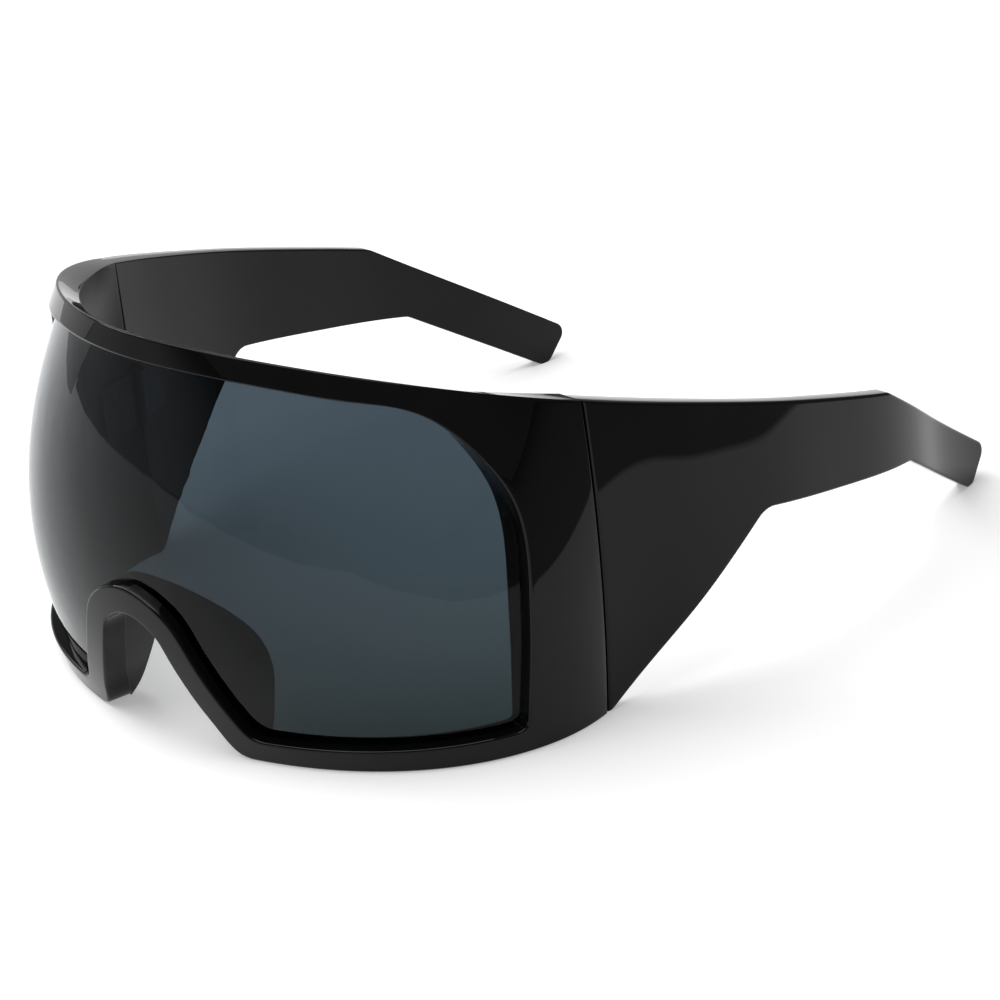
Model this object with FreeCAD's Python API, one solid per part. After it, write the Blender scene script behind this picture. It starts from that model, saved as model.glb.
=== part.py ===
import FreeCAD, Part
import math
import os

os.makedirs("parts", exist_ok=True)
Vec = FreeCAD.Vector

# All lengths in mm, with the glasses standing open on a table: Z up, the
# lens facing -Y, the temples running to +Y. The seams lie at Y = 0 until the
# finished set is moved so that the middle of its box is at the origin.

# front shell, as level plan curves that change with height
seam_height = 67.5           # top of the seam above the table
upper_level_share = 1.274    # level at which the upper plan values hold
seam_half_low = 68.2         # half width at the seams, table level
seam_half_high = 68.8        # the same at the upper level
seam_belly = 2.4             # how far the sides swell between the two levels
depth_low = 55.5             # seam line to the middle of the front, table level
depth_high = 49.3            # the same at the upper level
depth_belly = 8.6            # how far the front swells between the two levels
shoulder_low = 78.5          # half width of the corner that bends the curve
shoulder_high = 27.3
shoulder_belly = 17.1
bend_low_share = 0.68        # weight of that corner
bend_high_share = 0.85
past_seam_share = 1.05       # the curve runs on a little past the seam

# walls and edges of the front
top_slope_share = 0.35       # fall of the top edge towards the tips
brow_height = 5.2            # front face of the brow
rim_height = 5.2             # front face of the lower rim
end_length = 16.6            # least length of the solid end, window to seam
corner_height = 2.5          # rounding of the lower window corners
frame_thick = 5.4
thin_start_share = 0.80      # from here the wall thins to the temple's at the seam
seam_gap = 0.30
draft_share = 0.18           # lean of the window's walls

# nose arch in the front
opening_half = 19.5          # half width of the opening on the table
opening_height = 29.2
nose_band = 5.9              # width of the band round the opening

# lens, held in a groove all round
lens_recess = 2.4
lens_thick = 1.8
lens_tuck = 1.8              # how far the lens edge goes into the groove
groove_clearance = 0.05

# temple
temple_tip = 124.8           # seam to the end of the tip
temple_thick = 4.2           # without the swell of the outer face
tip_thick = 3.4
bend_y = 79.6                # top edge turns down to the tip here
bend_round = 3.0
tip_top_height = 6.7
tip_round = 2.6
under_bend_y = 86.9          # the same turn on the lower edge
under_bend_height = 21.0
step_y = 39.0                # end of the slanting lower edge
step_height = 31.0
step_round = 5.0
seam_foot_y = 1.2
tip_toe_y = 118.3            # where the tip stands on the table
toe_drop = 1.0               # the rounded toe is cut flat by the table

# plan of the temple's outer face: stations along the temple, and how far out
# each lies beyond the seam half width
station_shares = (-0.04, 0.0, 0.085, 0.17, 0.255, 0.34, 0.50, 0.64, 0.74, 0.82, 0.91, 1.0, 1.05)
bow = 10.8                   # widest point beyond the seam
bow_shares = (-0.20, 0.0, 0.37, 0.645, 0.86, 0.985, 0.96, 0.80, 0.47, 0.08, -0.25, -0.45, -0.52)
flush_run = 8.0              # length over which the temple leaves the front's line

# hinge
hinge_height = 37.0
axis_inset = 0.25            # axis inside the inner face at the seam
knuckle_radius = 1.5
knuckle_height = 2.4
knuckle_gap = 0.12
knuckle_room = 0.45
leaf_length = 11.0
leaf_thick = 1.1
leaf_lean = 21.0             # degrees, along the temple's inner face
block_lean = 8.0             # degrees, forwards into the end block
screw_radius = 0.70
screw_clearance = 0.03
screw_head_radius = 1.15
screw_head_height = 0.7
screw_slot_width = 0.35
screw_slot_depth = 0.35
pocket_clearance = 0.02

# nose piece
nose_seat_gap = 0.05
peg_inset = 2.2              # peg axis behind the edge of the nose opening
peg_radius = 0.65
peg_length = 1.8
peg_root = 0.6               # the peg starts this deep in the nose piece
peg_height = 14.0

overrun = 4.0                # how far cutting tools run past what they cut

upper_level = upper_level_share * seam_height


def smooth(share):
    share = min(1.0, max(0.0, share))
    return share * share * (3.0 - 2.0 * share)


def blend(low, high, share):
    return low + (high - low) * share


def solve(rising, goal, low, high):
    # where a rising function reaches the goal, by halving
    for _ in range(50):
        middle = 0.5 * (low + high)
        if rising(middle) < goal:
            low = middle
        else:
            high = middle
    return 0.5 * (low + high)


def seam_half(z):
    # half width at the seam, without the swell of the sides
    return blend(seam_half_low, seam_half_high, z / upper_level)


def level_values(z, swell_share):
    share = z / upper_level
    swell = 4.0 * share * (1.0 - share)
    half = seam_half(z) + swell_share * seam_belly * swell
    depth = blend(depth_low, depth_high, share) + depth_belly * swell
    shoulder = blend(shoulder_low, shoulder_high, share) + shoulder_belly * swell
    weight = blend(bend_low_share, bend_high_share, share)
    return half, depth, shoulder, weight


def conic(t, values):
    half, depth, shoulder, weight = values
    b0 = (1.0 - t) ** 2
    b1 = 2.0 * weight * t * (1.0 - t)
    b2 = t ** 2
    total = b0 + b1 + b2
    return (b1 * shoulder + b2 * half) / total, -(b0 + b1) * depth / total


def front_point(t, z, offset, swell_share=1.0):
    # point of the front shell: t runs from 0 in the middle to 1 at the seam,
    # offset goes level and square to the plan curve, outwards positive; the
    # inside of the frame leaves out the swell of the sides
    side = -1.0 if t < 0.0 else 1.0
    t = abs(t)
    values = level_values(z, swell_share)
    x, y = conic(t, values)
    step = 0.001
    xa, ya = conic(t - step, values)
    xb, yb = conic(t + step, values)
    run = math.hypot(xb - xa, yb - ya)
    x += offset * (yb - ya) / run
    y -= offset * (xb - xa) / run
    return Vec(side * x, y, z)


def t_at_width(x, z):
    return solve(lambda t: front_point(t, z, 0).x, x, 0.0, 0.6)


def t_at_depth(distance, z):
    # distance is measured forwards from the seam
    return solve(lambda t: front_point(t, z, 0).y, -distance, 0.1, 1.0)


def shell_lean(t, z):
    # how far the shell draws in for a unit of height
    step = 0.01 * upper_level
    outward = (front_point(t, z, overrun) - front_point(t, z, 0)).normalize()
    return (front_point(t, z - step, 0) - front_point(t, z + step, 0)).dot(outward) / (2.0 * step)


def spline(points, places=None):
    # curve through points; with the place of each along the curve given, the
    # curves of one loft share their knots
    curve = Part.BSplineCurve()
    if places is None:
        curve.interpolate(points)
    else:
        curve.interpolate(Points=points, Parameters=places)
    return curve.toShape()


def backwards(places):
    return [places[0] + places[-1] - place for place in reversed(places)]


def ring_wire(out_line, in_line, places):
    # closed section between an outer and an inner line
    return Part.Wire([
        spline(out_line, places),
        Part.makeLine(out_line[-1], in_line[-1]),
        spline(in_line[::-1], backwards(places)),
        Part.makeLine(in_line[0], out_line[0]),
    ])


def between(low, high, count):
    return [blend(low, high, k / (count - 1.0)) for k in range(count)]


def even(count, reach):
    return between(-reach, reach, count)


def frame_wall(t):
    share = (abs(t) - thin_start_share) / (1.0 - thin_start_share)
    return blend(frame_thick, temple_thick, smooth(share))


def band(outer, inner_at, swell_share=1.0):
    # closed level sections lofted upwards: a wrapped wall between two offsets
    wires = []
    ts = even(17, past_seam_share)
    for z in between(-overrun, upper_level + overrun, 9):
        out_line = [front_point(t, z, outer) for t in ts]
        in_line = [front_point(t, z, inner_at(t), swell_share) for t in ts]
        wires.append(ring_wire(out_line, in_line, ts))
    return Part.makeLoft(wires, True, False)


def run_places(run):
    # lengths along a run of (t, z) on the shell
    points = [front_point(t, z, 0) for t, z in run]
    places = [0.0]
    for a, b in zip(points, points[1:]):
        places.append(places[-1] + (b - a).Length)
    return places


def plug(runs_at, depth, shared=False):
    # tool whose walls stand on the shell along an outline, given for an offset
    # as runs of (t, z); it closes in a point well outside and one inside
    def ring(offset):
        edges = []
        for run in runs_at(offset):
            places = run_places(run) if shared else None
            edges.append(spline([front_point(t, z, offset) for t, z in run], places))
        return Part.Wire(edges)
    outside = Part.Vertex(Vec(0, -3.0 * depth_low, 0.5 * upper_level))
    inside = Part.Vertex(Vec(0, -0.2 * depth_low, 0.5 * upper_level))
    return Part.makeLoft([outside, ring(overrun), ring(-depth), inside], True, True)


def brow_level(t, below):
    # height at which the shell meets the plane of the top edge, or one below it
    z = seam_height
    for _ in range(40):
        z = seam_height - below - top_slope_share * front_point(t, z, 0).y
    return z


def mirrored(run):
    return [(-t, z) for t, z in reversed(run)]


def grown(points, grow):
    # closed clockwise outline pushed outwards, square to itself on the shell
    moved = []
    step = 0.01
    for i, (t, z) in enumerate(points):
        ahead = points[(i + 1) % len(points)]
        behind = points[i - 1]
        rate = (front_point(t + step, z, 0) - front_point(t - step, z, 0)).Length / (2.0 * step)
        run = (ahead[0] - behind[0]) * rate
        rise = ahead[1] - behind[1]
        size = math.hypot(run, rise)
        moved.append((t - grow * rise / size / rate, z + grow * run / size))
    return moved


# nose opening: (share of the half width, share of the height), from the foot up
open_shares = ((1.03, -0.06), (0.925, 0.10), (0.851, 0.219), (0.733, 0.377), (0.564, 0.616),
               (0.477, 0.75), (0.39, 0.87), (0.236, 0.955), (0.0, 1.0))
# the foot of each leg is rounded where it meets the table
foot_shares = ((1.28, -0.03), (1.14, 0.0), (1.03, 0.021), (0.945, 0.082))
open_points = [(a * opening_half, b * opening_height) for a, b in open_shares]
foot_points = [(a * opening_half, b * opening_height) for a, b in foot_shares]


def on_shell(points):
    return [(t_at_width(x, z), z) for x, z in points]


open_line = on_shell(foot_points + open_points[2:])
open_line = open_line + mirrored(open_line)[1:]

# window edge, right half: along the brow, down the solid end, then the rim
# and the far side of the nose band
brow_reach_share = 0.572
side_shares = ((1.633, 1.058), (1.42, 1.0), (1.19, 0.892), (1.05, 0.795), (1.0, 0.69),
               (1.078, 0.484), (1.19, 0.24))
corner_shares = ((1.235, 1.0), (1.252, 0.40), (1.30, 0.10), (1.40, 0.0))
leg_corner_shares = ((1.9, 0.0), (1.0, 0.28), (0.45, 0.78))


def window_half():
    brow = [(t, brow_level(t, brow_height)) for t in between(0, brow_reach_share, 5)]
    side = [(a * end_length, b * seam_height) for a, b in side_shares]
    side += [(a * end_length, rim_height + b * corner_height) for a, b in corner_shares]
    side = [(t_at_depth(y, z), z) for y, z in side]
    straight = on_shell(open_points)
    nose = grown(straight + mirrored(straight)[1:], -nose_band)[2:len(straight)]
    foot_x = front_point(nose[0][0], nose[0][1], 0).x
    foot = [(foot_x + a * corner_height, rim_height + b * corner_height) for a, b in leg_corner_shares]
    return brow + side, on_shell(foot) + nose


upper_half, arch_half = window_half()
upper_line = mirrored(upper_half)[:-1] + upper_half
arch_line = arch_half + mirrored(arch_half)[1:]
rim_line = [(t, rim_height) for t in between(upper_line[-1][0], arch_line[0][0], 5)][1:-1]


def window(grow):
    # the whole edge as one loop, pushed outwards, then cut into its runs
    points = upper_line + rim_line + arch_line + mirrored(rim_line)
    loop = grown(points, grow)
    a = len(upper_line)
    b = a + len(rim_line)
    c = b + len(arch_line)
    return [loop[:a], loop[a - 1:b + 1], loop[b:c], loop[c - 1:] + loop[:1]]


def half_space(point, normal):
    # a block that fills one side of a plane, big enough for anything here
    size = 6.0 * temple_tip
    block = Part.makeBox(size, size, size, Vec(-0.5 * size, -0.5 * size, 0))
    block.Placement = FreeCAD.Placement(point, FreeCAD.Rotation(Vec(0, 0, 1), normal))
    return block


below_table = half_space(Vec(0, 0, 0), Vec(0, 0, -1))
behind_seam = half_space(Vec(0, -0.5 * seam_gap, 0), Vec(0, 1, 0))


def top_edge(offset):
    # line of the brow's top face at an offset; the face is square to the shell
    points = []
    ts = even(17, 2.0 * past_seam_share - 1.0)
    for t in ts:
        z = brow_level(t, 0)
        place = front_point(t, z, offset)
        points.append(place + Vec(0, 0, offset * shell_lean(t, z)))
    return spline(points, ts)


top_face = Part.makeRuledSurface(top_edge(overrun), top_edge(-2.4 * frame_thick))
above_top = top_face.extrude(Vec(0, 0, upper_level))

# lens and its groove

def lens_body(clear):
    wall = band(-lens_recess + clear, lambda t: -lens_recess - lens_thick - clear)
    edge = window(lens_tuck + clear)
    return wall.common(plug(lambda offset: edge, 2.0 * frame_thick, True))


lens = lens_body(0)
groove = lens_body(groove_clearance)

# front frame

frame = band(0, lambda t: -frame_wall(t), 0.0)
frame = frame.cut(below_table)
frame = frame.cut(behind_seam)
frame = frame.cut(above_top)
foot_run = [(t, open_line[0][1]) for t in between(open_line[-1][0], open_line[0][0], 5)]
nose_gap = plug(lambda offset: [open_line, foot_run], 2.0 * frame_thick)
frame = frame.cut(plug(lambda offset: window(draft_share * offset), 1.6 * frame_thick))
frame = frame.cut(nose_gap)
frame = frame.cut(groove)


# hinge, worked out on the left side and mirrored

axis_x = seam_half(hinge_height) - temple_thick - axis_inset
hinge_total = 5.0 * knuckle_height + 4.0 * knuckle_gap
hinge_foot = hinge_height - 0.5 * hinge_total


def cylinder(radius, low, high):
    return Part.makeCylinder(radius, high - low, Vec(axis_x, 0, low))


def strip(start, end, low, high, lean, clear):
    # flat bar that leaves the axis backwards, leaning outwards by an angle
    bar = Part.makeBox(leaf_thick + 2.0 * clear, end - start + 2.0 * clear, high - low + 2.0 * clear,
                       Vec(-clear, start - clear, low - clear))
    bar.rotate(Vec(0, 0, 0), Vec(0, 0, 1), -lean)
    bar.translate(Vec(axis_x, 0, 0))
    return bar


def leaf(numbers, lean, bore, clear=0.0):
    plate_start = knuckle_radius + knuckle_room
    shape = strip(plate_start, leaf_length, hinge_foot, hinge_foot + hinge_total, lean, clear)
    for number in numbers:
        low = hinge_foot + number * (knuckle_height + knuckle_gap)
        high = low + knuckle_height
        shape = shape.fuse(strip(0, plate_start + knuckle_gap, low, high, lean, clear))
        shape = shape.fuse(cylinder(knuckle_radius + clear, low - clear, high + clear))
    if bore > 0.0:
        shape = shape.cut(cylinder(bore, hinge_foot - overrun, hinge_foot + hinge_total + overrun))
    return shape.removeSplitter()


front_knuckles = (0, 2, 4)
temple_knuckles = (1, 3)
temple_leaf = leaf(temple_knuckles, leaf_lean, screw_radius + screw_clearance)


def front_leaf_shape(bore, clear=0.0):
    # the plate lies on the outer side of the axis on both leaves
    shape = leaf(front_knuckles, leaf_lean, bore, clear)
    shape = shape.mirror(Vec(axis_x, 0, 0), Vec(0, 1, 0))
    shape.rotate(Vec(axis_x, 0, 0), Vec(0, 0, 1), -(leaf_lean + block_lean))
    return shape


front_leaf = front_leaf_shape(screw_radius + 0.5 * screw_clearance)
room = cylinder(knuckle_radius + knuckle_room, hinge_foot - knuckle_room,
                hinge_foot + hinge_total + screw_head_height + knuckle_room)

screw_top = hinge_foot + hinge_total
screw = cylinder(screw_radius, hinge_foot, screw_top + screw_head_height)
screw = screw.fuse(cylinder(screw_head_radius, screw_top, screw_top + screw_head_height)).removeSplitter()
slot = Part.makeBox(4.0 * screw_head_radius, screw_slot_width, 2.0 * screw_slot_depth,
                    Vec(axis_x - 2.0 * screw_head_radius, -0.5 * screw_slot_width,
                        screw_top + screw_head_height - screw_slot_depth))
screw = screw.cut(slot)


def mirror_x(shape):
    return shape.mirror(Vec(0, 0, 0), Vec(1, 0, 0))


front_pocket = front_leaf_shape(0, pocket_clearance).fuse(room)
frame = frame.cut(front_pocket)
frame = frame.cut(mirror_x(front_pocket))

# temple

def seam_run(z):
    # how fast the front's line moves outwards as it reaches the seam
    half, depth, shoulder, _ = level_values(z, 1.0)
    return (half - shoulder) / depth


def temple_line(z, inner):
    swell = level_values(z, 1.0)[0] - seam_half(z)
    points = []
    for station, out in zip(station_shares, bow_shares):
        y = station * temple_tip
        x = seam_half(z) + bow * out
        if inner:
            x -= blend(temple_thick, tip_thick, smooth(station))
        else:
            x += swell * (1.0 - smooth(y / step_y))
            x -= (seam_run(seam_height) - seam_run(z)) * y * math.exp(-abs(y) / flush_run)
        points.append(Vec(x, y, z))
    return points


def temple_blank():
    wires = []
    for z in between(-overrun, seam_height + overrun, 6):
        wires.append(ring_wire(temple_line(z, False), temple_line(z, True), list(station_shares)))
    return Part.makeLoft(wires, True, False)


def rounded_outline(corners):
    # closed outline in the YZ plane, each corner with its own radius
    edges = []
    count = len(corners)
    ends = []
    for i in range(count):
        y, z, radius = corners[i]
        here = Vec(0, y, z)
        back = Vec(0, corners[i - 1][0], corners[i - 1][1])
        ahead = Vec(0, corners[(i + 1) % count][0], corners[(i + 1) % count][1])
        if radius == 0:
            ends.append((here, here, None))
            continue
        u = (back - here).normalize()
        v = (ahead - here).normalize()
        half = 0.5 * u.getAngle(v)
        reach = radius / math.tan(half)
        middle = here + (u + v).normalize() * (radius / math.sin(half) - radius)
        ends.append((here + u * reach, here + v * reach, middle))
    for i in range(count):
        first, last, middle = ends[i]
        if middle is not None:
            edges.append(Part.Arc(first, middle, last).toShape())
        edges.append(Part.makeLine(last, ends[(i + 1) % count][0]))
    return Part.Wire(edges)


front_y = 0.5 * seam_gap
temple_outline = rounded_outline((
    (front_y, 0, 0),
    (front_y, seam_height - top_slope_share * front_y, 0),
    (bend_y, seam_height - top_slope_share * bend_y, bend_round),
    (temple_tip, tip_top_height, tip_round),
    (tip_toe_y, -toe_drop, tip_round),
    (under_bend_y, under_bend_height, bend_round),
    (step_y, step_height, step_round),
    (seam_foot_y, 0, 0),
))
temple_prism = Part.Face(temple_outline).extrude(Vec(2.0 * seam_half_high, 0, 0))
temple = temple_blank().common(temple_prism).cut(below_table)
temple_pocket = leaf(temple_knuckles, leaf_lean, 0, pocket_clearance).fuse(room)
temple = temple.cut(temple_pocket)

# nose piece: an arch whose inside carries on the opening's wall and whose
# sides stand behind the legs, trimmed to the back of the frame
outside_shares = ((1.08, -0.06), (1.09, 0.10), (1.10, 0.22), (1.14, 0.42), (1.15, 0.64),
                  (1.07, 0.80), (0.87, 0.94), (0.45, 1.09), (0.0, 1.14))
outside_points = [(a * opening_half, b * opening_height) for a, b in outside_shares]


def nose_section(points, y):
    right = [Vec(x, y, z) for x, z in points]
    left = [Vec(-q.x, q.y, q.z) for q in reversed(right[:-1])]
    return right + left


def nose_blank():
    straight = on_shell(open_points)
    places = run_places(straight + mirrored(straight)[1:])
    wires = []
    for y in (-1.25 * depth_low, -0.65 * depth_low):
        wires.append(ring_wire(nose_section(open_points, y), nose_section(outside_points, y), places))
    return Part.makeLoft(wires, True, True)


# side view of the pads: (share of the front's depth, share of the opening's height)
pad_shares = ((1.01, 1.42), (0.94, 1.19), (0.875, 1.03), (0.825, 0.85), (0.803, 0.60), (0.805, 0.38),
              (0.815, 0.18), (0.845, 0.05), (0.90, -0.05))
pad_reach = 2.0 * seam_half_high
pad_line = [Vec(-pad_reach, -a * depth_low, b * opening_height) for a, b in pad_shares]
front_low = Vec(-pad_reach, -2.0 * depth_low, pad_line[-1].z)
front_high = Vec(-pad_reach, -2.0 * depth_low, pad_line[0].z)
pad_outline = Part.Wire([
    spline(pad_line, [-b for a, b in pad_shares]),
    Part.makeLine(pad_line[-1], front_low),
    Part.makeLine(front_low, front_high),
    Part.makeLine(front_high, pad_line[0]),
])
pad_prism = Part.Face(pad_outline).extrude(Vec(2.0 * pad_reach, 0, 0))
nose_keep_out = band(6.0 * overrun, lambda t: -frame_wall(t) - nose_seat_gap, 0.0)
nose = nose_blank().common(pad_prism).cut(nose_keep_out).cut(below_table)

# one locating peg on each side goes square into the leg of the frame

def peg(clear):
    foot = open_points[2]
    head = open_points[5]
    x = blend(foot[0], head[0], (peg_height - foot[1]) / (head[1] - foot[1])) + peg_inset
    t = t_at_width(x, peg_height)
    seat = front_point(t, peg_height, -frame_thick)
    outward = (front_point(t, peg_height, 0) - seat).normalize()
    start = seat - outward * peg_root
    return Part.makeCylinder(peg_radius + clear, peg_root + peg_length + clear, start, outward)


for side_peg in (peg(0), mirror_x(peg(0))):
    nose = nose.fuse(side_peg)
for side_hole in (peg(pocket_clearance), mirror_x(peg(pocket_clearance))):
    frame = frame.cut(side_hole)

parts = {
    "front_frame": frame,
    "shield_lens": lens,
    "nose_piece": nose,
    "left_temple": temple,
    "right_temple": mirror_x(temple),
    "left_front_leaf": front_leaf,
    "right_front_leaf": mirror_x(front_leaf),
    "left_temple_leaf": temple_leaf,
    "right_temple_leaf": mirror_x(temple_leaf),
    "left_hinge_screw": screw,
    "right_hinge_screw": mirror_x(screw),
}
boxes = [shape.optimalBoundingBox() for shape in parts.values()]
middle_y = 0.5 * (min(box.YMin for box in boxes) + max(box.YMax for box in boxes))
for name, shape in parts.items():
    shape.translate(Vec(0, -middle_y, 0))
    shape.exportStep("parts/" + name + ".step")
    box = shape.optimalBoundingBox()
    print(name, shape.isValid(), len(shape.Solids), round(shape.Volume, 1),
          [round(v, 2) for v in (box.XMin, box.XMax, box.YMin, box.YMax, box.ZMin, box.ZMax)])
print("hinge axes at x", round(axis_x, 4), "y", round(-middle_y, 4))
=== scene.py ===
import math
import bpy
import bmesh
import numpy as np
from mathutils import Matrix, Vector


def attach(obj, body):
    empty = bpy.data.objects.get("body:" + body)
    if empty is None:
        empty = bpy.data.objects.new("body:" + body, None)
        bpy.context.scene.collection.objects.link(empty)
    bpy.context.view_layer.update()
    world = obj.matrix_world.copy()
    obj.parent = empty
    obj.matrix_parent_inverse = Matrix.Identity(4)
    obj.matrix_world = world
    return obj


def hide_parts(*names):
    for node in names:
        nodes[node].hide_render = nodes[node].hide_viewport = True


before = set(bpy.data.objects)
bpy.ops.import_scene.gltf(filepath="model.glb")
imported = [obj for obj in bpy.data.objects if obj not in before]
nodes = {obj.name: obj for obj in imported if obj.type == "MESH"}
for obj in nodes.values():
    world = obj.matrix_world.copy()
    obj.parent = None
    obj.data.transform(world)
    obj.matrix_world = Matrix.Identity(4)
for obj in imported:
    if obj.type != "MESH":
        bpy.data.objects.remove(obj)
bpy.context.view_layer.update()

mm = 0.001
midY = -31.1664   # mm, the seams' place along Y in the row frame
hardEdge = 38     # degrees, sharper turns than this stay hard

# shape of the wrapped front, same values as the solid part (mm); low is at the floor, high at
# upperShare of the seam's height, and the belly swells between them
shell = {
    "halfLow": 68.2, "halfHigh": 68.8, "halfBelly": 2.4,                # seam, from the middle
    "depthLow": 55.5, "depthHigh": 49.3, "depthBelly": 8.6,             # middle, before the seams
    "shoulderLow": 78.5, "shoulderHigh": 27.3, "shoulderBelly": 17.1,   # corner that pulls the curve
    "bendLow": 0.68, "bendHigh": 0.85,                                  # strength of that pull
    "seamHeight": 67.5, "topSlope": 0.35, "upperShare": 1.274,
    "wall": 5.4, "wallAtSeam": 4.2, "thinFrom": 0.80,
}


# eased step from 0 to 1
def ramp(x):
    x = np.clip(x, 0, 1)
    return x * x * (3 - 2 * x)


# height as a share of the shell's upper level
def levelShare(z):
    return z / (shell["upperShare"] * shell["seamHeight"])


# seam's half width, middle's depth and corner's half width at a level share k
def planSizes(k, swell=1.0):
    s = shell
    lift = 4 * k * (1 - k)
    half = s["halfLow"] + (s["halfHigh"] - s["halfLow"]) * k + swell * s["halfBelly"] * lift
    depth = s["depthLow"] + (s["depthHigh"] - s["depthLow"]) * k + s["depthBelly"] * lift
    corner = s["shoulderLow"] + (s["shoulderHigh"] - s["shoulderLow"]) * k + s["shoulderBelly"] * lift
    return half, depth, corner


# plan curve at height z: a weighted quadratic through middle, corner and seam
def planCurve(t, z, swell):
    k = levelShare(z)
    half, depth, corner = planSizes(k, swell)
    w = shell["bendLow"] + (shell["bendHigh"] - shell["bendLow"]) * k
    b0, b1, b2 = (1 - t) ** 2, 2 * w * t * (1 - t), t ** 2
    total = b0 + b1 + b2
    return (b1 * corner + b2 * half) / total, -(b0 + b1) * depth / total


# point of the shell: t 0 in the middle and 1 at the seam, off = level offset outwards
def shellPoint(t, z, off, swell=1.0):
    step = 0.001   # of t, for the curve's direction
    side = np.where(t < 0, -1.0, 1.0)
    t = np.abs(t)
    x, y = planCurve(t, z, swell)
    xa, ya = planCurve(t - step, z, swell)
    xb, yb = planCurve(t + step, z, swell)
    run = np.hypot(xb - xa, yb - ya)
    return np.stack([side * (x + off * (yb - ya) / run), y - off * (xb - xa) / run, z + 0 * t], -1)


# wall, thinner towards the seam
def wallThick(t):
    thin = ramp((np.abs(t) - shell["thinFrom"]) / (1 - shell["thinFrom"]))
    return shell["wall"] + (shell["wallAtSeam"] - shell["wall"]) * thin


# share e of the way from the outer face to the inner one
def inWall(t, z, e):
    outer = shellPoint(t, z, 0.0)
    inner = shellPoint(t, z, -wallThick(t), 0.0)
    return outer + (inner - outer) * e[..., None]


# place where a rising function meets its goal, by halving
def halve(f, goal, low, high, shape):
    low, high = np.full(shape, low, float), np.full(shape, high, float)
    for _ in range(40):
        mid = 0.5 * (low + high)
        less = f(mid) < goal
        low, high = np.where(less, mid, low), np.where(less, high, mid)
    return 0.5 * (low + high)


# t where the shell is x from the middle
def tAtWidth(x, z):
    return halve(lambda t: shellPoint(t, z, 0.0)[..., 0], x, 0.0, 0.6, np.shape(x))


# t where the shell is d before the seam
def tAtDepth(d, z):
    return halve(lambda t: shellPoint(t, z, 0.0)[..., 1], -d, 0.1, 1.0, np.shape(d))


# height of the sloping top edge, or of a line below it
def browLevel(t, below):
    z = np.full(np.shape(t), shell["seamHeight"])
    for _ in range(40):
        z = shell["seamHeight"] - below - shell["topSlope"] * shellPoint(t, z, 0.0)[..., 1]
    return z


# how far the shell moves outwards for each mm down
def shellLean(t, z):
    step = 0.8   # mm
    out = shellPoint(t, z, 1.0) - shellPoint(t, z, 0.0)
    fall = shellPoint(t, z - step, 0.0) - shellPoint(t, z + step, 0.0)
    return (fall * out).sum(-1) / (2 * step)


# weights of a natural cubic through values given at the places "at", read off at x
def splineWeights(at, x):
    m = len(at)
    h = np.diff(at)
    a, rhs = np.eye(m), np.zeros((m, m))
    for i in range(1, m - 1):
        a[i, i - 1:i + 2] = h[i - 1], 2 * (h[i - 1] + h[i]), h[i]
        rhs[i, i - 1:i + 2] = 6 / h[i - 1], -6 / h[i - 1] - 6 / h[i], 6 / h[i]
    bend = np.linalg.solve(a, rhs)
    i = np.clip(np.searchsorted(at, x) - 1, 0, m - 2)
    p, q = ((at[i + 1] - x) / h[i])[:, None], ((x - at[i]) / h[i])[:, None]
    one = np.eye(m)
    curve = ((p ** 3 - p) * bend[i] + (q ** 3 - q) * bend[i + 1]) * h[i][:, None] ** 2 / 6
    return p * one[i] + q * one[i + 1] + curve


def lengthsOf(pts):
    return np.concatenate([[0], np.cumsum(np.linalg.norm(np.diff(pts, axis=0), axis=1))])


def onShell(tz):
    return shellPoint(tz[:, 0], tz[:, 1], 0.0)


# smooth line through (t, z) points of the shell
def shellCurve(tz, n):
    at = lengthsOf(onShell(tz))
    return splineWeights(at, np.linspace(0, at[-1], n)) @ tz


# n points at even shares of a (t, z) line's real length
def spread(tz, n):
    at = lengthsOf(onShell(tz))
    x = np.linspace(0, at[-1], n)
    return np.stack([np.interp(x, at, tz[:, 0]), np.interp(x, at, tz[:, 1])], 1)


# the same line on the other half, run backwards
def mirrored(tz):
    return (tz * [-1, 1])[::-1]


def nearest(values, goal, start=0, stop=None):
    return start + int(np.argmin(np.abs(values[start:stop] - goal)))


# one quad for each cell of a grid of point numbers
def gridQuads(ids):
    return np.stack([ids[:-1, :-1], ids[1:, :-1], ids[1:, 1:], ids[:-1, 1:]], -1).reshape(-1, 4)


def keepValue(mesh, name, values):
    mesh.attributes.new(name, "FLOAT", "POINT").data.foreach_set("value", values.astype(np.float32).ravel())


def shadeSmooth(mesh):
    mesh.shade_smooth()
    mesh.set_sharp_from_angle(angle=math.radians(hardEdge))


# closed mesh object from points and quads; depth is 0 on the outer face and 1 on the inner
# one, and is kept for the material
def solidFrom(name, pts, quads, depth):
    mesh = bpy.data.meshes.new(name)
    mesh.vertices.add(len(pts))
    mesh.vertices.foreach_set("co", ((pts + [0, midY, 0]) * mm).astype(np.float32).ravel())
    mesh.loops.add(quads.size)
    mesh.loops.foreach_set("vertex_index", quads.astype(np.int32).ravel())
    mesh.polygons.add(len(quads))
    mesh.polygons.foreach_set("loop_start", (np.arange(len(quads)) * 4).astype(np.int32))
    mesh.update(calc_edges=True)
    mesh.validate()
    keepValue(mesh, "depth", depth)
    bm = bmesh.new()
    bm.from_mesh(mesh)
    bmesh.ops.recalc_face_normals(bm, faces=bm.faces)
    if bm.calc_volume(signed=True) < 0:
        bmesh.ops.reverse_faces(bm, faces=bm.faces)
    bm.to_mesh(mesh)
    bm.free()
    shadeSmooth(mesh)
    obj = bpy.data.objects.new(name, mesh)
    bpy.context.scene.collection.objects.link(obj)
    return obj


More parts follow.
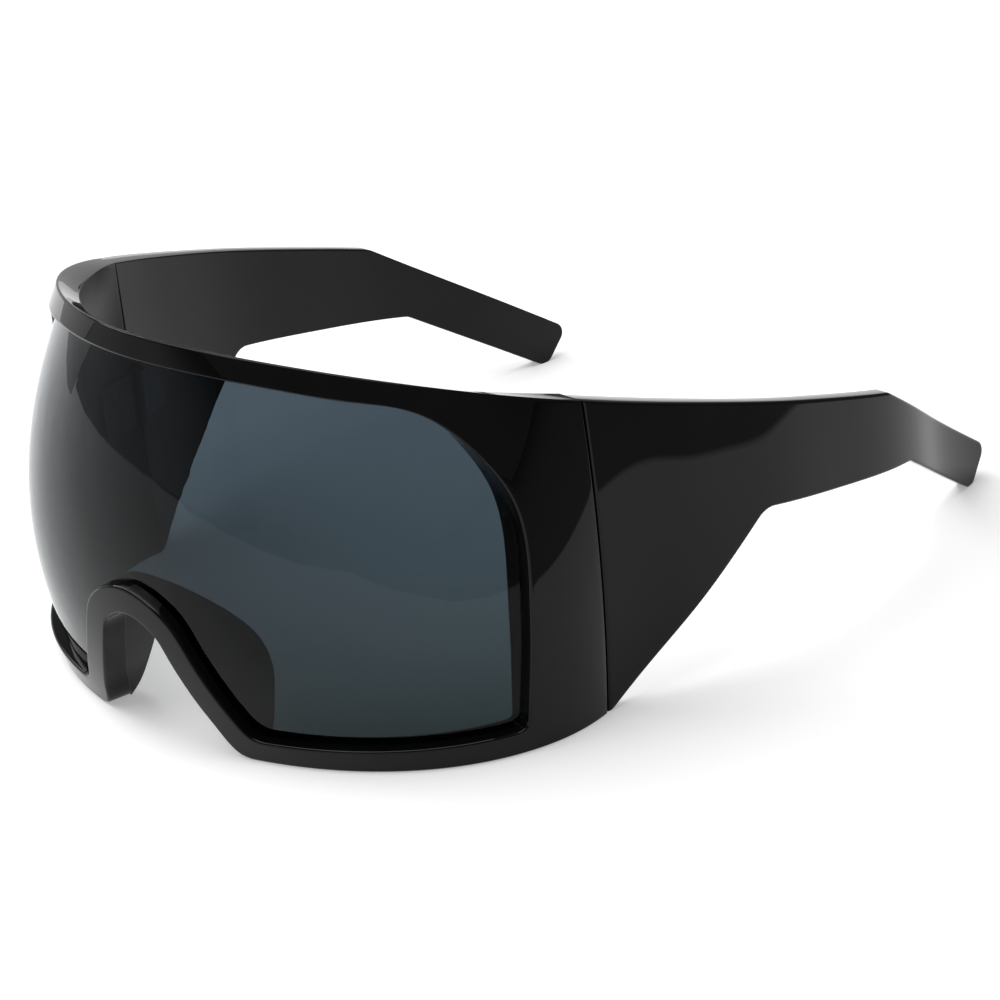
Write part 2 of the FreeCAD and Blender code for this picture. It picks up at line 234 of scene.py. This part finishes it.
# room for the hinge's knuckles and screw head (mm)
hinge = {
    "axis": 64.0082, "foot": 30.76, "top": 43.24, "knuckle": 1.5, "head": 0.7,
    "room": 0.45, "roomSides": 48,
}


# takes the round room of the hinge out of a piece
def cutRoom(obj, axes):
    h = hinge
    low, high = h["foot"] - h["room"], h["top"] + h["head"] + h["room"]
    for x in axes:
        bpy.ops.mesh.primitive_cylinder_add(
            vertices=h["roomSides"], radius=(h["knuckle"] + h["room"]) * mm, depth=(high - low) * mm,
            location=(x * mm, midY * mm, 0.5 * (low + high) * mm))
        cutter = bpy.context.object
        mod = obj.modifiers.new("room", "BOOLEAN")
        mod.object = cutter
        mod.solver = "EXACT"
        ready = obj.evaluated_get(bpy.context.evaluated_depsgraph_get())
        fresh = bpy.data.meshes.new_from_object(ready)
        obj.modifiers.remove(mod)
        obj.data = fresh
        bpy.data.objects.remove(cutter)
    shadeSmooth(obj.data)


# front frame: one ring between an outer loop and the window's loop, with a rounded oblong
# section; both loops are (t, z) on the shell and change with the depth share e
front = {
    "brow": 5.2, "rim": 5.2, "end": 16.6, "corner": 2.5, "draft": 0.18, "seam": 0.15,
    "openHalf": 19.5, "openHeight": 29.2, "openFrom": 0.02, "band": 5.9,
    "round": 0.55, "innerRound": 0.15,
    "browReach": 0.572, "browEven": 0.50,                # t where the brow line and its even columns end
    "sideTop": 64.0, "sideLow": 6.4, "footHalf": 27.0,   # where stretches of the loops end
    "columns": (70, 60, 80, 30, 60, 90),                 # brow, turn, seam, corner, rim, arch
    "rows": (16, 7, 7),                                  # face, wall, rounded corner
    "samples": (1201, 120, 801),                         # fine points on the upper line, rim and arch
    # shares of the opening's half width and height
    "open": [(1.03, -0.06), (0.925, 0.10), (0.851, 0.219), (0.733, 0.377), (0.564, 0.616),
             (0.477, 0.75), (0.39, 0.87), (0.236, 0.955), (0.0, 1.0)],
    "foot": [(1.28, -0.03), (1.14, 0.0), (1.03, 0.021), (0.945, 0.082)],
    # shares of the end block's width, and of the seam's height or the corner's radius
    "side": [(1.633, 1.058), (1.42, 1.0), (1.19, 0.892), (1.05, 0.795), (1.0, 0.69),
             (1.078, 0.484), (1.19, 0.24)],
    "sideCorner": [(1.235, 1.0), (1.252, 0.40), (1.30, 0.10), (1.40, 0.0)],
    "legCorner": [(1.9, 0.0), (1.0, 0.28), (0.45, 0.78)],
}


def atWidth(xz):
    return np.stack([tAtWidth(xz[:, 0], xz[:, 1]), xz[:, 1]], 1)


# pushes a closed clockwise line outwards, square to itself on the shell
def grown(tz, by):
    step = 0.01   # of t
    t, z = tz.T
    ahead, behind = shellPoint(t + step, z, 0.0), shellPoint(t - step, z, 0.0)
    rate = np.linalg.norm(ahead - behind, axis=1) / (2 * step)
    run = (np.roll(t, -1) - np.roll(t, 1)) * rate
    rise = np.roll(z, -1) - np.roll(z, 1)
    size = np.hypot(run, rise)
    return np.stack([t - by * rise / size / rate, z + by * run / size], 1)


# right half of the nose opening, and of the window's outline on the outer and inner face
def frontLoops():
    f = front
    nUpper, nRim, nArch = f["samples"]
    scale = np.array([f["openHalf"], f["openHeight"]])
    openXZ, footXZ = np.array(f["open"]) * scale, np.array(f["foot"]) * scale
    opening = atWidth(np.concatenate([footXZ, openXZ[2:]]))
    opening = shellCurve(np.concatenate([opening, mirrored(opening)[1:]]), nArch)[:nArch // 2 + 1]
    opening = opening[opening[:, 1] > f["openFrom"]]
    tBrow = np.linspace(0, f["browReach"], 5)
    brow = np.stack([tBrow, browLevel(tBrow, f["brow"])], 1)
    side = np.concatenate([np.array(f["side"]) * [f["end"], shell["seamHeight"]],
                           np.array(f["sideCorner"]) * [f["end"], f["corner"]] + [0, f["rim"]]])
    side = np.stack([tAtDepth(side[:, 0], side[:, 1]), side[:, 1]], 1)
    upper = np.concatenate([brow, side])
    straight = atWidth(openXZ)
    nose = grown(np.concatenate([straight, mirrored(straight)[1:]]), -f["band"])[2:len(straight)]
    footX = onShell(nose[:1])[0, 0]
    leg = atWidth(np.array(f["legCorner"]) * f["corner"] + [footX, f["rim"]])
    arch = np.concatenate([leg, nose])
    upper = shellCurve(np.concatenate([mirrored(upper)[:-1], upper]), nUpper)
    arch = shellCurve(np.concatenate([arch, mirrored(arch)[1:]]), nArch)
    rim = np.linspace(upper[-1], arch[0], nRim)
    whole = np.concatenate([upper, rim[1:-1], arch, mirrored(rim[1:-1])])
    rimAt, archAt = nUpper - 1, nUpper + nRim - 2
    parts = []
    for by in (0.0, -f["draft"] * shell["wall"]):
        w = grown(whole, by)
        parts.append((w[nUpper // 2:nUpper], w[rimAt:rimAt + nRim], w[archAt:archAt + nArch // 2 + 1]))
    return opening, parts


# brow top, seam, bottom and nose opening at the depth share e
def outerLoop(e, opening, tCorner):
    f = front
    tBrow, counts = f["browEven"], f["columns"]

    def tSeam(z):
        return halve(lambda t: inWall(t, z, np.full(np.shape(t), e))[..., 1],
                     -f["seam"], 0.8, 1.04, np.shape(z))
    tTop = tSeam(np.array([shell["seamHeight"]]))[0]
    tFoot = tAtWidth(np.array([f["footHalf"]]), np.array([0.0]))[0]
    t = np.concatenate([np.linspace(0, tBrow, counts[0]), np.linspace(tBrow, tTop, counts[1])[1:]])
    z = browLevel(t, 0.0)
    browTop = np.stack([t, z - e * wallThick(t) * shellLean(t, z)], 1)
    zSeam = np.linspace(browTop[-1, 1], 0, counts[2])
    seam = np.stack([tSeam(zSeam), zSeam], 1)
    low = np.concatenate([np.linspace(seam[-1, 0], tCorner, counts[3]),
                          np.linspace(tCorner, tFoot, counts[4])[1:]])
    bottom = np.stack([low, 0 * low], 1)
    start = np.array([[tFoot, 0.0]])
    foot = spread(np.concatenate([start, opening[:1] * [1, 0], opening]), counts[5])
    return np.concatenate([browTop, seam[1:], bottom[1:], foot[1:]])


# the window's outline with as many points in each stretch as the outer loop
def windowLoop(part, keys):
    upper, rim, arch = part
    tBrow, counts = front["browEven"], front["columns"]
    i = nearest(upper[:, 0], tBrow, 0, 2 * len(upper) // 3)
    t = np.linspace(0, tBrow, counts[0])
    brow = np.stack([t, np.interp(t, upper[:i + 2, 0], upper[:i + 2, 1])], 1)
    turn = np.concatenate([brow[-1:], upper[i + 1:keys[0] + 1]])
    lines = (turn, upper[keys[0]:keys[1] + 1], upper[keys[1]:], rim, arch)
    return np.concatenate([brow] + [spread(line, n)[1:] for line, n in zip(lines, counts[1:])])


# rounded oblong: (share across, mm across, share deep, mm deep) all the way round, with
# radius r on the outer face's edges and b on the inner face's
def roundedSection(r, b, nFace, nWall, nCorner):
    q = np.linspace(0, 1, nFace)
    w = np.linspace(0, 1, nWall)
    c = np.linspace(0, math.pi / 2, nCorner)[1:-1]
    s, k = np.sin(c), np.cos(c)
    o, one = 0 * q, 0 * c
    return np.concatenate([
        np.stack([q, r * (1 - 2 * q), o, o], 1),                          # outer face
        np.stack([one + 1, r * (s - 1), one, r * (1 - k)], 1),
        np.stack([0 * w + 1, 0 * w, w, r - (r + b) * w], 1),              # window's wall
        np.stack([one + 1, b * (k - 1), one + 1, b * (s - 1)], 1),
        np.stack([1 - q, b * (2 * q - 1), o + 1, o], 1),                  # inner face
        np.stack([one, b * (1 - s), one + 1, b * (k - 1)], 1),
        np.stack([0 * w, 0 * w, 1 - w, (r + b) * w - b], 1),              # outer edge's wall
        np.stack([one, r * (1 - k), one, r * (1 - s)], 1),
    ])


# each column sets the section between its points of both loops, and the left half is mirrored
def makeFront():
    f = front
    opening, parts = frontLoops()
    upper, rim = parts[0][:2]
    third = len(upper) // 3
    keys = (nearest(upper[:, 1], f["sideTop"], third), nearest(upper[:, 1], f["sideLow"], 2 * third))
    outer = [outerLoop(e, opening, rim[0, 0]) for e in (0.0, 1.0)]
    inner = [windowLoop(part, keys) for part in parts]
    sec = roundedSection(f["round"], f["innerRound"], *f["rows"])
    width = np.linalg.norm(onShell(outer[0]) - onShell(inner[0]), axis=1)[:, None]
    mid = 0.5 * (outer[0] + inner[0])
    back = inWall(mid[:, 0], mid[:, 1], np.ones(len(mid)))
    deep = np.linalg.norm(back - onShell(mid), axis=1)[:, None]
    s = sec[None, :, 0] + sec[None, :, 1] / width
    e = sec[None, :, 2] + sec[None, :, 3] / deep
    o = outer[0][:, None] + (outer[1] - outer[0])[:, None] * e[..., None]
    i = inner[0][:, None] + (inner[1] - inner[0])[:, None] * e[..., None]
    tz = o + (i - o) * s[..., None]
    right = inWall(tz[..., 0], tz[..., 1], e)
    right[[0, -1], :, 0] = 0
    pts = np.concatenate([right, (right * [-1, 1, 1])[-2:0:-1]])
    depth = np.concatenate([e, e[-2:0:-1]])
    ids = np.arange(depth.size).reshape(depth.shape)
    quads = gridQuads(np.pad(ids, (0, 1), mode="wrap"))
    obj = solidFrom("roundedFront", pts.reshape(-1, 3), quads, depth)
    cutRoom(obj, (hinge["axis"], -hinge["axis"]))
    return obj


frontPiece = makeFront()
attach(frontPiece, "front")
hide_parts("front_frame")
print("front", len(frontPiece.data.polygons))

# temple: a plate between an outer and an inner face over a side outline in (y, z); each face
# is a grid between the top edge and the lower edge, and near the outline it turns in by a
# quarter circle of the edge radius
temple = {
    "tip": 124.8, "tipTop": 6.7, "tipRound": 2.6, "thick": 4.2, "tipThick": 3.4,
    "bendY": 79.6, "bendRound": 3.0, "underY": 86.9, "underZ": 21.0,
    "stepY": 39.0, "stepZ": 31.0, "stepRound": 5.0, "footY": 1.2, "toeY": 118.3, "toeDrop": 1.0,
    "round": 0.55, "innerRound": 0.25,
    "bow": 10.8, "flush": 8.0,   # sideways bow, and the length over which the face leaves the front's slope
    # shares of the tip's place, and of the bow there
    "stations": [-0.04, 0.0, 0.085, 0.17, 0.255, 0.34, 0.50, 0.64, 0.74, 0.82, 0.91, 1.0, 1.05],
    "bows": [-0.20, 0.0, 0.37, 0.645, 0.86, 0.985, 0.96, 0.80, 0.47, 0.08, -0.25, -0.45, -0.52],
    "columns": (60, 60, 45, 26),              # seam to middle, bend, tip's slope, tip
    "firstShare": 0.55, "firstStep": 1.5,     # of the straight top, and of the edge radius
    "rows": 26, "edgeRows": 7, "edgeStretch": 1.3,
    "arc": 14, "tipArc": 20, "toeArc": 40,    # points on the rounded corners
}


# slope of the front's outer face where it meets the temple, at a level share
def seamRun(k):
    half, depth, corner = planSizes(k)
    return (half - corner) / depth


# outer and inner x over (y, z): cubic through the stations along the temple
def templeFaces(y, z):
    p = temple
    stations = np.array(p["stations"])
    w = splineWeights(stations, y / p["tip"])
    k = levelShare(z)[:, None]
    yS = stations * p["tip"]
    plain = planSizes(k, 0.0)[0] + p["bow"] * np.array(p["bows"])
    swell = shell["halfBelly"] * 4 * k * (1 - k) * (1 - ramp(yS / p["stepY"]))
    leave = (seamRun(levelShare(shell["seamHeight"])) - seamRun(k)) * yS * np.exp(-np.abs(yS) / p["flush"])
    inner = plain - p["thick"] - (p["tipThick"] - p["thick"]) * ramp(stations)
    return (w * (plain + swell - leave)).sum(1), (w * inner).sum(1)


# corner of a polyline turned into an arc
def rounded(back, here, ahead, r, n):
    back, here, ahead = (np.array(v, float) for v in (back, here, ahead))
    u, v = (back - here) / np.linalg.norm(back - here), (ahead - here) / np.linalg.norm(ahead - here)
    half = 0.5 * math.acos(float(u @ v))
    centre = here + (u + v) / np.linalg.norm(u + v) * r / math.sin(half)
    a, b = here + u * r / math.tan(half) - centre, here + v * r / math.tan(half) - centre
    turn = math.pi - 2 * half
    f = np.linspace(0, 1, n)[:, None]
    return centre + (np.sin((1 - f) * turn) * a + np.sin(f * turn) * b) / math.sin(turn)


# points at shares of a line's length
def alongLine(pts, shares):
    at = lengthsOf(pts)
    return np.stack([np.interp(shares * at[-1], at, pts[:, i]) for i in (0, 1)], 1)


# shortest distance from points to a line
def distanceTo(line, q):
    a, d = line[:-1], np.diff(line, axis=0)
    f = np.clip(((q[:, None] - a) * d).sum(-1) / (d * d).sum(-1), 0, 1)
    return np.linalg.norm(q[:, None] - a - f[..., None] * d, axis=-1).min(1)


# drop of a quarter circle at a distance from the outline
def turnIn(away, radius):
    d = np.minimum(away, radius)
    return radius - np.sqrt(np.maximum(radius ** 2 - (radius - d) ** 2, 0))


# top and lower edge of the side outline, column by column from the seam to the tip
def templeEdges(start):
    p, s = temple, shell
    y0 = front["seam"]
    topSeam, topBend = ((y, s["seamHeight"] - s["topSlope"] * y) for y in (y0, p["bendY"]))
    tipTop, toe = (p["tip"], p["tipTop"]), (p["toeY"], -p["toeDrop"])
    under, step, foot = (p["underY"], p["underZ"]), (p["stepY"], p["stepZ"]), (p["footY"], 0.0)
    bendArc = rounded(topSeam, topBend, tipTop, p["bendRound"], p["arc"])
    tipArc = rounded(topBend, tipTop, toe, p["tipRound"], p["tipArc"])
    toeArc = rounded(tipTop, toe, under, p["tipRound"], p["toeArc"])[::-1]
    underArc = rounded(toe, under, step, p["bendRound"], p["arc"])[::-1]
    stepArc = rounded(under, step, foot, p["stepRound"], p["arc"])[::-1]
    half = p["arc"] // 2
    first = bendArc[0] * p["firstShare"] + np.array(topSeam) * (1 - p["firstShare"])
    topLines = [np.array([topSeam, first]), np.concatenate([[first], bendArc[:half]]),
                np.concatenate([bendArc[half - 1:], tipArc[:1]]), tipArc]
    lowLines = [np.concatenate([[(y0, 0.0), foot], stepArc[:half]]),
                np.concatenate([stepArc[half - 1:], underArc[:half]]),
                np.concatenate([underArc[half - 1:], toeArc[:1]]), toeArc]
    edges = []
    for lines in (topLines, lowLines):
        parts = []
        for line, n in zip(lines, p["columns"]):
            shares = np.linspace(0, 1, n)
            if not parts:   # finer columns beside the seam
                size = lengthsOf(line)[-1]
                shares = np.concatenate([start, np.linspace(p["firstStep"] * p["round"], size, n)]) / size
            parts.append(alongLine(line, shares)[1 if parts else 0:])
        edges.append(np.concatenate(parts))
    top, low = edges
    low[:, 1] = np.maximum(low[:, 1], 0)
    return top, low


# both faces are the same grid of columns and rows in (y, z), joined by a wall along its rim
def makeTemple(name, side):
    p = temple
    start = p["round"] * (1 - np.cos(np.linspace(0, math.pi / 2, p["edgeRows"])))
    top, low = templeEdges(start)
    edge = p["edgeStretch"] * start[None] / np.linalg.norm(low - top, axis=1)[:, None]
    inside = edge[:, -1:] + (1 - 2 * edge[:, -1:]) * np.linspace(0, 1, p["rows"])[None, 1:-1]
    v = np.concatenate([edge, inside, (1 - edge)[:, ::-1]], 1)
    q = (top[:, None] + (low - top)[:, None] * v[..., None]).reshape(-1, 2)
    outline = np.concatenate([top, low[::-1], top[:1]])
    apart = np.linalg.norm(np.diff(outline, axis=0), axis=1) > 1e-6
    away = distanceTo(outline[np.concatenate([[True], apart])], q)
    xo, xi = templeFaces(q[:, 0], q[:, 1])
    outer = np.stack([xo - turnIn(away, p["round"]), q[:, 0], q[:, 1]], 1)
    inner = np.stack([xi + turnIn(away, p["innerRound"]), q[:, 0], q[:, 1]], 1)
    more = len(q)
    ids = np.arange(more).reshape(v.shape)
    cells = gridQuads(ids)
    rim = np.concatenate([ids[:, 0], ids[-1, 1:], ids[-2::-1, -1], ids[0, -2:0:-1]])
    ahead = np.roll(rim, -1)
    wall = np.stack([rim, rim + more, ahead + more, ahead], -1)
    pts = np.concatenate([outer, inner]) * [side, 1, 1]
    quads = np.concatenate([cells, cells[:, ::-1] + more, wall])
    obj = solidFrom(name, pts, quads, np.repeat([0.0, 1.0], more))
    cutRoom(obj, (side * hinge["axis"],))
    return obj


temples = {}
for name, side, body in (("left", 1, "left_arm"), ("right", -1, "right_arm")):
    piece = makeTemple(name + "RoundedTemple", side)
    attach(piece, body)
    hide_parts(name + "_temple")
    temples[name] = piece
print("temples", [len(o.data.polygons) for o in temples.values()])

# camera of the photo: three-quarter view from a little above, with the picture turned slightly
photoCamera = {
    "target": (7.82, 2.953, 16.79),   # mm
    "azimuth": 46.93,                 # degrees from -Y towards +X
    "elevation": 25.04,
    "distance": 915.7,                # mm
    "roll": -6.62,
    "lens": 158.6, "sensor": 36, "near": 0.01,
}


# looks at the target from the azimuth and elevation, then rolls about that line
def placeCamera():
    c = photoCamera
    az, el, roll = (math.radians(c[k]) for k in ("azimuth", "elevation", "roll"))
    back = Vector((math.sin(az) * math.cos(el), -math.cos(az) * math.cos(el), math.sin(el)))
    right = Vector((math.cos(az), math.sin(az), 0))
    up = back.cross(right)
    side = right * math.cos(roll) + up * math.sin(roll)
    top = up * math.cos(roll) - right * math.sin(roll)
    data = bpy.data.cameras.new("photoCamera")
    data.lens = c["lens"]
    data.sensor_width = c["sensor"]
    data.clip_start = c["near"]
    cam = bpy.data.objects.new("photoCamera", data)
    cam.matrix_world = Matrix((side, top, back)).transposed().to_4x4()
    cam.location = Vector(c["target"]) * mm + back * c["distance"] * mm
    bpy.context.scene.collection.objects.link(cam)
    bpy.context.scene.camera = cam


placeCamera()
bpy.context.scene.view_settings.view_transform = "Standard"
print("camera")


def newMaterial(name):
    mat = bpy.data.materials.new(name)
    mat.use_nodes = True
    tree = mat.node_tree
    return mat, tree, tree.nodes["Principled BSDF"]


def link(tree, a, b):
    tree.links.new(a, b)


# map range node; each of its ends is a number or another node's output
def mapRange(tree, value, fromEnds, toEnds=(0, 1)):
    span = tree.nodes.new("ShaderNodeMapRange")
    ends = zip(("From Min", "From Max", "To Min", "To Max"), (*fromEnds, *toEnds))
    for key, end in ends:
        if isinstance(end, (int, float)):
            span.inputs[key].default_value = end
        else:
            link(tree, end, span.inputs[key])
    link(tree, value, span.inputs["Value"])
    return span.outputs["Result"]


# noise on the piece's own coordinates, mapped to a narrow range of values
def noiseRange(tree, scale, ends=(0, 1), detail=3.0, stretch=(1, 1, 1)):
    coords = tree.nodes.new("ShaderNodeTexCoord")
    place = tree.nodes.new("ShaderNodeMapping")
    place.inputs["Scale"].default_value = stretch
    noise = tree.nodes.new("ShaderNodeTexNoise")
    noise.inputs["Scale"].default_value = scale
    noise.inputs["Detail"].default_value = detail
    link(tree, coords.outputs["Object"], place.inputs["Vector"])
    link(tree, place.outputs["Vector"], noise.inputs["Vector"])
    return mapRange(tree, noise.outputs["Fac"], (0.3, 0.7), ends)   # where the noise has most of its values


def tintRange(tree, value, dark, light):
    blend = tree.nodes.new("ShaderNodeMix")
    blend.data_type = "RGBA"
    blend.inputs["A"].default_value = (*dark, 1)
    blend.inputs["B"].default_value = (*light, 1)
    link(tree, value, blend.inputs["Factor"])
    return blend.outputs["Result"]


def attributeValue(tree, name):
    node = tree.nodes.new("ShaderNodeAttribute")
    node.attribute_name = name
    return node.outputs["Fac"]


# polished black moulding: deep black with a faint change of tone, nearly mirror smooth
# outside and left satin on the inner face
polish = {
    "dark": (0.0022, 0.0022, 0.0024), "light": (0.0042, 0.0042, 0.0045), "cloud": 45,
    "rough": (0.010, 0.022), "grain": 130, "satin": 0.30, "satinFrom": (0.93, 1.0), "level": 0.19,
}


def polishedBlack():
    p = polish
    mat, tree, shade = newMaterial("polishedBlack")
    cloud = noiseRange(tree, p["cloud"])
    gloss = noiseRange(tree, p["grain"], p["rough"])
    rough = mapRange(tree, attributeValue(tree, "depth"), p["satinFrom"], (gloss, p["satin"]))
    link(tree, tintRange(tree, cloud, p["dark"], p["light"]), shade.inputs["Base Color"])
    link(tree, rough, shade.inputs["Roughness"])
    shade.inputs["Specular IOR Level"].default_value = p["level"]
    return mat


# nose piece: the same moulding with a slightly softer skin
noseSkin = {
    "dark": (0.003, 0.003, 0.0032), "light": (0.005, 0.005, 0.0053), "cloud": 60,
    "rough": (0.10, 0.15), "grain": 90,
}


def satinBlack():
    p = noseSkin
    mat, tree, shade = newMaterial("satinBlack")
    cloud = noiseRange(tree, p["cloud"])
    link(tree, tintRange(tree, cloud, p["dark"], p["light"]), shade.inputs["Base Color"])
    link(tree, noiseRange(tree, p["grain"], p["rough"]), shade.inputs["Roughness"])
    shade.inputs["Specular IOR Level"].default_value = polish["level"]
    return mat


# lens: clear tinted plastic, a little lighter and bluer towards its upper edge
tintedLens = {
    "low": (0.0215, 0.0350, 0.0380), "high": (0.0530, 0.0745, 0.0935), "levels": (0.005, 0.070),
    "rough": (0.0, 0.02), "grain": 60, "bend": 1.22,
}


def lensTint():
    p = tintedLens
    mat, tree, shade = newMaterial("tintedLens")
    coords = tree.nodes.new("ShaderNodeTexCoord")
    split = tree.nodes.new("ShaderNodeSeparateXYZ")
    link(tree, coords.outputs["Object"], split.inputs["Vector"])
    level = mapRange(tree, split.outputs["Z"], p["levels"])
    link(tree, tintRange(tree, level, p["low"], p["high"]), shade.inputs["Base Color"])
    link(tree, noiseRange(tree, p["grain"], p["rough"]), shade.inputs["Roughness"])
    shade.inputs["Transmission Weight"].default_value = 1.0
    shade.inputs["IOR"].default_value = p["bend"]
    return mat


# hinge parts: dark metal with fine upright streaks
darkHinge = {
    "dark": (0.030, 0.030, 0.032), "light": (0.055, 0.055, 0.058), "streak": 900,
    "rough": (0.2, 0.36), "grain": 700, "detail": 4.0, "stretch": (1, 1, 0.06),
}


def hingeMetal():
    p = darkHinge
    mat, tree, shade = newMaterial("darkHingeMetal")
    streaks = noiseRange(tree, p["streak"], (0, 1), p["detail"], p["stretch"])
    rough = noiseRange(tree, p["grain"], p["rough"], p["detail"], p["stretch"])
    link(tree, tintRange(tree, streaks, p["dark"], p["light"]), shade.inputs["Base Color"])
    link(tree, rough, shade.inputs["Roughness"])
    shade.inputs["Metallic"].default_value = 1.0
    return mat


def dress(obj, mat):
    obj.data.materials.clear()
    obj.data.materials.append(mat)


black, satin, lensMat, metal = polishedBlack(), satinBlack(), lensTint(), hingeMetal()
finishes = {"lens": lensMat, "leaf": metal, "screw": metal, "nose": satin}
for name, node in nodes.items():
    dress(node, next((mat for word, mat in finishes.items() if word in name), black))
for piece in [frontPiece, *temples.values()]:
    dress(piece, black)
print("materials")

# white sheet on a table: the sheet is pale and lit, with a soft lift so that it reads white;
# past its edges the mirror image of the table is dark
sheet = {
    "size": 8.0, "tone": 0.80, "lift": 0.34, "table": 0.30, "turn": -11.3, "soft": 0.002,
    "right": 0.168, "left": -0.90, "front": -0.50, "back": 1.60,
}


def mathNode(tree, operation, a, b):
    node = tree.nodes.new("ShaderNodeMath")
    node.operation = operation
    for socket, value in zip(node.inputs, (a, b)):
        if isinstance(value, (int, float)):
            socket.default_value = value
        else:
            link(tree, value, socket)
    return node.outputs[0]


def diffuse(tree, tone):
    node = tree.nodes.new("ShaderNodeBsdfDiffuse")
    node.inputs["Color"].default_value = (tone, tone, tone, 1)
    return node.outputs[0]


# 1 on the sheet and 0 past its four edges
def onSheet(tree):
    coords = tree.nodes.new("ShaderNodeTexCoord")
    turned = tree.nodes.new("ShaderNodeMapping")
    turned.inputs["Rotation"].default_value = (0, 0, math.radians(sheet["turn"]))
    split = tree.nodes.new("ShaderNodeSeparateXYZ")
    link(tree, coords.outputs["Object"], turned.inputs["Vector"])
    link(tree, turned.outputs["Vector"], split.inputs["Vector"])
    edges = []
    for edge, axis, sign in (("right", "X", -1), ("left", "X", 1), ("front", "Y", 1), ("back", "Y", -1)):
        at, soft = sheet[edge], sign * sheet["soft"]
        edges.append(mapRange(tree, split.outputs[axis], (at - soft, at + soft)))
    inside = edges[0]
    for edge in edges[1:]:
        inside = mathNode(tree, "MULTIPLY", inside, edge)
    return inside


def whiteSheet():
    mat, tree, shade = newMaterial("whiteSheet")
    tree.nodes.remove(shade)
    path = tree.nodes.new("ShaderNodeLightPath").outputs
    seen = mathNode(tree, "MAXIMUM", path["Is Camera Ray"], path["Is Glossy Ray"])
    seen = mathNode(tree, "MAXIMUM", seen, path["Is Transmission Ray"])
    lift = tree.nodes.new("ShaderNodeEmission")
    link(tree, mathNode(tree, "MULTIPLY", seen, sheet["lift"]), lift.inputs["Strength"])
    paper = tree.nodes.new("ShaderNodeAddShader")
    link(tree, diffuse(tree, sheet["tone"]), paper.inputs[0])
    link(tree, lift.outputs[0], paper.inputs[1])
    outside = mathNode(tree, "SUBTRACT", 1.0, onSheet(tree))
    mix = tree.nodes.new("ShaderNodeMixShader")
    link(tree, mathNode(tree, "MULTIPLY", outside, path["Is Glossy Ray"]), mix.inputs[0])
    link(tree, paper.outputs[0], mix.inputs[1])
    link(tree, diffuse(tree, sheet["table"]), mix.inputs[2])
    link(tree, mix.outputs[0], tree.nodes["Material Output"].inputs["Surface"])
    return mat


bpy.ops.mesh.primitive_plane_add(size=sheet["size"])
floor = bpy.context.object
floor.name = "floor"
dress(floor, whiteSheet())

# soft box overhead, a weaker one on the left, two low cards and a dim room (metres)
studio = {
    "room": 0.18, "aim": (0, 0, 0.03),
    "overhead": {"place": (-0.15, -0.25, 1.15), "size": 1.1, "power": 13.5},
    "side": {"place": (-1.0, -0.1, 0.85), "size": 0.7, "power": 5.0},
    "cardTone": 0.02, "cardGrid": (25, 13), "fadeFrom": (0.6, 0.5),   # shares along and up a card
    "leftCard": {"ends": ((-0.60, -0.165), (-0.60, 0.600)), "height": 0.22,
                 "glow": 0.60, "rise": 0.0, "fade": 0.0},
    "frontCard": {"ends": ((-0.78, -0.20), (0.05, -0.85)), "height": 0.50,
                  "glow": 0.34, "rise": 1.8, "fade": 1.0},
}


def softBox(name):
    b = studio[name]
    data = bpy.data.lights.new(name + "Box", "AREA")
    data.shape = "SQUARE"
    data.size = b["size"]
    data.energy = b["power"]
    lamp = bpy.data.objects.new(name + "Box", data)
    lamp.location = b["place"]
    lamp.rotation_euler = (Vector(studio["aim"]) - Vector(b["place"])).to_track_quat("-Z", "Y").to_euler()
    bpy.context.scene.collection.objects.link(lamp)


# low upright card, only there to be mirrored in the brow and the lens: an even grid between
# its ends whose glow rises along it and, where fade is 1, ends softly at the far end and the top
def paleCard(name):
    c = studio[name]
    nu, nv = studio["cardGrid"]
    u, v = np.meshgrid(np.linspace(0, 1, nu), np.linspace(0, 1, nv), indexing="ij")
    a, b = np.array(c["ends"])
    pts = np.concatenate([a + (b - a) * u[..., None], c["height"] * v[..., None]], 2).reshape(-1, 3)
    glow = c["glow"] * (1 + c["rise"] * u)
    for share, start in zip((u, v), studio["fadeFrom"]):
        glow = glow * (1 - c["fade"] * ramp((share - start) / (1 - start)))
    mesh = bpy.data.meshes.new(name)
    mesh.from_pydata(pts.tolist(), [], gridQuads(np.arange(u.size).reshape(u.shape)).tolist())
    keepValue(mesh, "glow", glow)
    card = bpy.data.objects.new(name, mesh)
    bpy.context.scene.collection.objects.link(card)
    mat, tree, shade = newMaterial(name)
    shade.inputs["Base Color"].default_value = (studio["cardTone"],) * 3 + (1,)
    shade.inputs["Emission Color"].default_value = (1, 1, 1, 1)
    link(tree, attributeValue(tree, "glow"), shade.inputs["Emission Strength"])
    dress(card, mat)
    card.visible_camera = False
    card.visible_shadow = False


softBox("overhead")
softBox("side")
paleCard("leftCard")
paleCard("frontCard")
room = bpy.data.worlds.new("dimRoom")
bpy.context.scene.world = room
room.use_nodes = True
room.node_tree.nodes["Background"].inputs["Color"].default_value = (1, 1, 1, 1)
room.node_tree.nodes["Background"].inputs["Strength"].default_value = studio["room"]
print("studio")
